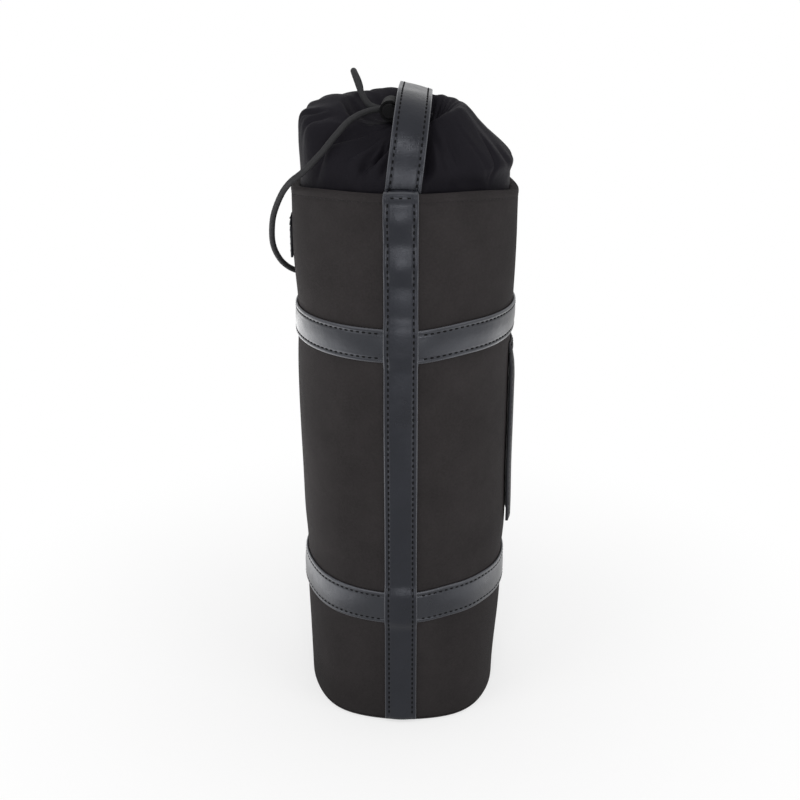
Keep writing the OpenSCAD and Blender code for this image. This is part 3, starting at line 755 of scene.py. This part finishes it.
# The main folds: direction from the front in degrees, width, depth
FOLDS = [
    (-98, 6, 2.2), (-76, 5, 1.6), (-57, 5.5, 4.5), (-38, 4, 1.8), (-24, 2.6, 2.6), (-11, 3, 1.6), (3, 3, 2.0),
    (14, 3.4, 4.2), (25, 2.2, 1.2), (36, 5, 1.4), (56, 6, 0.9), (72, 6, 1.6), (90, 6, 1.8), (108, 6, 2.4),
    (127, 5, 1.8), (146, 6, 2.4), (166, 5, 2), (184, 6, 2.4), (204, 6, 1.8), (224, 6, 2.2), (243, 5, 2),
]
CREASES = 36
CLOTH_T = 0.5


def round_about(v, a):
    c, s = np.cos(a), np.sin(a)
    return (v[0] * np.maximum(0, c) ** 2 + v[1] * np.maximum(0, s) ** 2
            + v[2] * np.maximum(0, -c) ** 2 + v[3] * np.maximum(0, -s) ** 2)


def collar_surface(a, steps):
    """Rows of (radius, height, shift) over the collar, and each row's place among the knots."""
    rows = []
    for shift, turn, radii, heights in KNOTS:
        b = a + math.radians(turn)
        rows.append(np.stack([round_about(radii, b), round_about(heights, b), np.full_like(a, shift)], -1))
    rows = np.array(rows)
    rows[6, :, 1] += 2.4 * near(a, 112, 24) - 4.5 * near(a, 203, 24) - 0.5 * near(a, 152, 20)
    rows[7, :, 0] += 17.0 * near(a, 171, 32)
    body = spline(rows[2:].reshape(len(rows) - 2, -1), steps).reshape(-1, len(a), 3)
    seat = np.array([rows[1] * (1 - t) + rows[0] * t for t in (1.0, 0.5, 0.0)])
    k = np.concatenate([[0, 0.5, 1.0], 2 + np.arange(len(body)) / steps])
    return np.concatenate([seat, body]), k


def folds(a, k):
    """Depth of the cloth's folds, inwards, at direction a and knot k."""
    deg = np.degrees(a)[None, :] - 270
    rad = np.radians(deg)
    k = k[:, None]
    total = np.zeros((len(k), a.size))
    for centre, width, depth in FOLDS:
        drift = centre + 2.5 * np.sin(centre) * (k - 4)
        d = (deg - drift + 180) % 360 - 180
        wider = width * (1 + 0.25 * np.maximum(0, k - 4))
        total += depth * np.exp(-(d / wider) ** 2) * smooth(k, 2.6, 4.4) * (1 - smooth(k, 5.2, 6.6))
    for centre in np.linspace(0, 360, CREASES, endpoint=False):
        jitter, width, depth, low, high = rng.uniform([-5, 1.5, 0.5, 2.5, 3.8], [5, 3.0, 1.7, 3.8, 5.2])
        d = (deg - centre - jitter - rng.uniform(-5, 5) * (k - 4) + 180) % 360 - 180
        total += depth * np.exp(-(d / width) ** 2) * smooth(k, low, low + 0.9) * (1 - smooth(k, high, high + 1.0))
    pleat = 0.5 + 0.5 * np.cos(rad * 26 + 1.5 * np.sin(rad * 3))
    total += 0.7 * pleat * smooth(k, 5.6, 7.0) * (1 - smooth(k, 8.2, 9.0))
    total += 0.4 * (0.5 + 0.5 * np.sin(rad * 17 + 2.0)) * smooth(k, 2.2, 3.5) * (1 - smooth(k, 5, 6.5))
    return total


def collar_points(q, a):
    x = q[..., 0] * np.cos(a)[None, :] + q[..., 2] * MOUTH[0]
    y = q[..., 0] * np.sin(a)[None, :] + q[..., 2] * MOUTH[1]
    return np.stack([x, y, q[..., 1]], -1)


a = np.linspace(0, TURN, 480, endpoint=False)
outer, knot = collar_surface(a, 9)
d = np.gradient(outer, axis=0)
inwards = np.stack([-d[..., 1], d[..., 0]], -1)
inwards /= np.maximum(np.linalg.norm(inwards, axis=-1, keepdims=True), 1e-9)
outer[..., :2] += inwards * folds(a, knot)[..., None]
inner = outer.copy()
inner[..., :2] += inwards * CLOTH_T
P = np.concatenate([collar_points(outer, a), collar_points(inner, a)[::-1]])
collar = grid_object("collar", P, NYLON, "bag", u=along(P[:, 0]), v=a * 45, close_n=True, close_m=True)
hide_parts("collar")
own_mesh(collar)

# Channel of the collar's mouth: puckered cloth round the cord
turn = np.radians(np.linspace(28, 332, 90)) + math.pi
girth = np.linspace(0, TURN, 28, endpoint=False)
A, B = np.meshgrid(turn, girth, indexing="ij")
R = 2.25 + 0.28 * np.sin(17 * A + 1.2 * np.sin(B)) * (0.4 + 0.6 * np.abs(np.sin(B / 2)))
reach = RING_R + R * np.cos(B)
P = np.stack([MOUTH[0] + reach * np.cos(A), MOUTH[1] + reach * np.sin(A), MOUTH[2] + R * np.sin(B)], -1)
channel = grid_object("cord_channel", P, NYLON, "bag", u=turn * RING_R, v=girth * 2.2, close_m=True, caps=True)
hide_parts("cord_channel")

# The gathered neck below the channel, which shows when the handle presses the collar down
turn = np.linspace(0, TURN, 120, endpoint=False)
heights = np.linspace(LOCK_Z - 2.0, LOCK_Z - 19, 10)
z = np.concatenate([heights, heights[::-1]])[:, None]
r = np.repeat([6.3, 5.9], len(heights))[:, None] + 0.2 * np.sin(17 * turn)[None, :]
P = np.stack([MOUTH[0] + r * np.cos(turn), MOUTH[1] + r * np.sin(turn), z + 0 * r], -1)
neck = grid_object("collar_neck", P, NYLON, "bag", u=along(P[:, 0]), v=turn * 6.3, close_n=True, close_m=True)


# Side pieces: hanging leather leaves, and their sewn ends above them
# The leaves get a quarter of the edges' wear and painted highlight
LEAF_WEAR_AND_HIGHLIGHT = 0.25
LEAF_RISE = 0.6                 # how far a leaf's rounded top stands above its hinge
SEAM_H = 5.0


def leaf_profile(w, t, dome):
    x, h, wear_and_highlight = strip_profile(w, t, dome=dome, inset=LEAF_STITCH_IN)
    return x, h, wear_and_highlight * LEAF_WEAR_AND_HIGHLIGHT


def leaf(name, body, place, size, dome):
    """A leaf that hangs from its rounded top. place gives the points of a shape that lies s down from it."""
    w, h, t = size["w"], size["h"], size["t"]

    def shaped(s, x, up):
        s, x, up = np.broadcast_arrays(s, x, up)
        up = np.where(up > t, t + (up - t) * smooth(s, 4, 16), up)
        up = t / 2 + (up - t / 2) * np.sqrt(1 - np.clip(1 - s / 0.7, 0, 0.98) ** 2)
        return place(s, x, size["z"] + LEAF_RISE - s, up)
    s = np.linspace(0, h + LEAF_RISE, 26)
    strip(name, shaped, s, leaf_profile(w, t, dome), DULL, body, s)
    rows = edge_rows(shaped, s[1:-2], w, LEAF_STITCH_IN, t - GROOVE)
    x = np.linspace(-w / 2 + LEAF_STITCH_IN + 1.5, w / 2 - LEAF_STITCH_IN - 1.5, 12)
    rows.append(row_of(shaped, h - LEAF_STITCH_IN, x, t + 0.02))
    stitches(name + "_stitches", rows, body)


def flap_place(s, x, z, up):
    return wall(x / WALL_R, z, 0.3 + 0.9 * smooth(s, 1, 9) + up)


def tab_place(s, x, z, up):
    bow = -(x / TAB["w"] * 2) ** 2 * 0.25
    return np.stack([-(float(r_at(TAB["z"])) + 0.3 + up + bow), -x, z], -1)


leaf("side_flap", "flap", flap_place, FLAP, dome=0.6)
leaf("side_tab", "tab", tab_place, TAB, dome=0.1)


def seam(name, middle, size):
    """The leaf's sewn end above it: thick at the fold, thin where it runs out on the wall."""
    w, t = size["w"], size["t"]
    z = size["z"] + t / 2 + 0.3

    def place(s, x, h):
        s, x, h = np.broadcast_arrays(s, x, h)
        p = wall(middle + x / WALL_R, z + s, 0.2 + h * (1.05 - 0.65 * smooth(s, 0, SEAM_H)))
        p[..., 2] = z + s
        return p
    s = np.linspace(0, SEAM_H, 12)
    strip(name, place, s, leaf_profile(w, t, 0.1), DULL, "bag", s)
    x = np.linspace(-w / 2 + LEAF_STITCH_IN, w / 2 - LEAF_STITCH_IN, 12)
    stitches(name + "_stitches", [row_of(place, 3.0, x, t + 0.1)], "bag")


seam("flap_seam", 0.0, FLAP)
seam("tab_seam", math.pi, TAB)

# CAD nodes that keep their shape
for name, mat in (("lock_barrel", PLASTIC), ("lock_button", PLASTIC), ("lock_spring", STEEL),
                  ("handle_tab_front", LEATHER), ("handle_tab_back", LEATHER)):
    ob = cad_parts[name]
    ob.data.materials.clear()
    ob.data.materials.append(mat)
low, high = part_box("lock_spring")
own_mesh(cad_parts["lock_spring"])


# Stage and light
def seen_ray(nt):
    """1 for a ray from the camera, a gloss or a glass, which see the white background."""
    path = nt.nodes.new("ShaderNodeLightPath")
    return math_node(nt, "MAXIMUM", path.outputs["Is Camera Ray"],
                     math_node(nt, "MAXIMUM", path.outputs["Is Glossy Ray"], path.outputs["Is Transmission Ray"]))


def mix_shaders(nt, factor, a, b):
    n = nt.nodes.new("ShaderNodeMixShader")
    for k, source in enumerate((factor, a, b)):
        nt.links.new(source, n.inputs[k])
    return n.outputs[0]


def floor_material():
    """A pale floor that is seen as white, with the object's shadow near its foot."""
    mat = bpy.data.materials.new("floor_white")
    mat.use_nodes = True
    nt = mat.node_tree
    nt.nodes.clear()
    lit = node(nt, "ShaderNodeBsdfDiffuse", Color=(0.82, 0.82, 0.82, 1))
    shadowed = node(nt, "ShaderNodeBsdfDiffuse", Color=(0.42, 0.42, 0.42, 1))
    glow = node(nt, "ShaderNodeEmission", Color=(1, 1, 1, 1), Strength=0.62)
    white = node(nt, "ShaderNodeEmission", Color=(1, 1, 1, 1), Strength=1.0)
    add = nt.nodes.new("ShaderNodeAddShader")
    nt.links.new(shadowed.outputs[0], add.inputs[0])
    nt.links.new(glow.outputs[0], add.inputs[1])
    distance = node(nt, "ShaderNodeVectorMath", operation="LENGTH")
    nt.links.new(object_coords(nt), distance.inputs[0])
    fade = node(nt, "ShaderNodeMapRange", interpolation_type="SMOOTHSTEP")
    fade.inputs["From Min"].default_value = 0.10
    fade.inputs["From Max"].default_value = 0.32
    nt.links.new(distance.outputs["Value"], fade.inputs["Value"])
    seen = mix_shaders(nt, fade.outputs[0], add.outputs[0], white.outputs[0])
    out = nt.nodes.new("ShaderNodeOutputMaterial")
    nt.links.new(mix_shaders(nt, seen_ray(nt), lit.outputs[0], seen), out.inputs["Surface"])
    return mat


me = bpy.data.meshes.new("floor")
me.from_pydata([(-6, -6, 0), (6, -6, 0), (6, 6, 0), (-6, 6, 0)], [], [(0, 1, 2, 3)])
me.materials.append(floor_material())
floor = bpy.data.objects.new("floor", me)
floor.location = (0, 0, -0.0002)
bpy.context.scene.collection.objects.link(floor)

WORLD_LIGHT, WORLD_SEEN = 0.37, 1.0
world = bpy.data.worlds.new("studio")
world.use_nodes = True
wt = world.node_tree
back = wt.nodes["Background"]
back.inputs["Color"].default_value = (1, 1, 1, 1)
level = node(wt, "ShaderNodeMapRange")
level.inputs["To Min"].default_value = WORLD_LIGHT
level.inputs["To Max"].default_value = WORLD_SEEN
wt.links.new(seen_ray(wt), level.inputs["Value"])
wt.links.new(level.outputs[0], back.inputs["Strength"])
bpy.context.scene.world = world

# Soft boxes: place, target, size, watts. Cards on the floor, which the camera doesn't see: place, size, radiance
SOFTBOXES = {
    "softbox_left": ((-1.0, -0.75, 0.75), (0, 0, 0.16), (0.7, 1.1), 3.4),
    "softbox_right": ((1.05, -0.65, 0.7), (0, 0, 0.16), (0.7, 1.1), 2.6),
    "softbox_front": ((0.05, -1.6, 0.35), (0, 0, 0.26), (1.0, 0.35), 6.2),
    "softbox_high": ((0.0, -0.9, 1.15), (0, -0.04, 0.31), (0.5, 0.22), 2.3),
    "softbox_top": ((0.05, 0.1, 1.25), (0, 0, 0.15), (1.0, 1.0), 4.0),
}
CARDS = {
    "bounce_left": ((-0.50, 0.20, 0.002), (0.7, 0.9), 2.1),
    "bounce_right": ((0.42, -0.05, 0.002), (0.5, 0.8), 1.4),
    "bounce_front": ((0.0, -1.4, 0.002), (0.8, 1.0), 1.0),
}


def area_light(name, place, target, size, power):
    data = bpy.data.lights.new(name, "AREA")
    data.shape = "RECTANGLE"
    data.size, data.size_y = size
    data.energy = power
    ob = bpy.data.objects.new(name, data)
    ob.location = place
    ob.rotation_euler = (Vector(target) - Vector(place)).to_track_quat("-Z", "Y").to_euler()
    bpy.context.scene.collection.objects.link(ob)
    return ob


for name, facts in SOFTBOXES.items():
    box_light = area_light(name, *facts)
    box_light.visible_glossy = name != "softbox_top"
for name, (place, size, radiance) in CARDS.items():
    card = area_light(name, place, (place[0], place[1], 1.0), size, radiance * math.pi * size[0] * size[1])
    card.visible_camera = False

bpy.context.scene.view_settings.view_transform = "Standard"
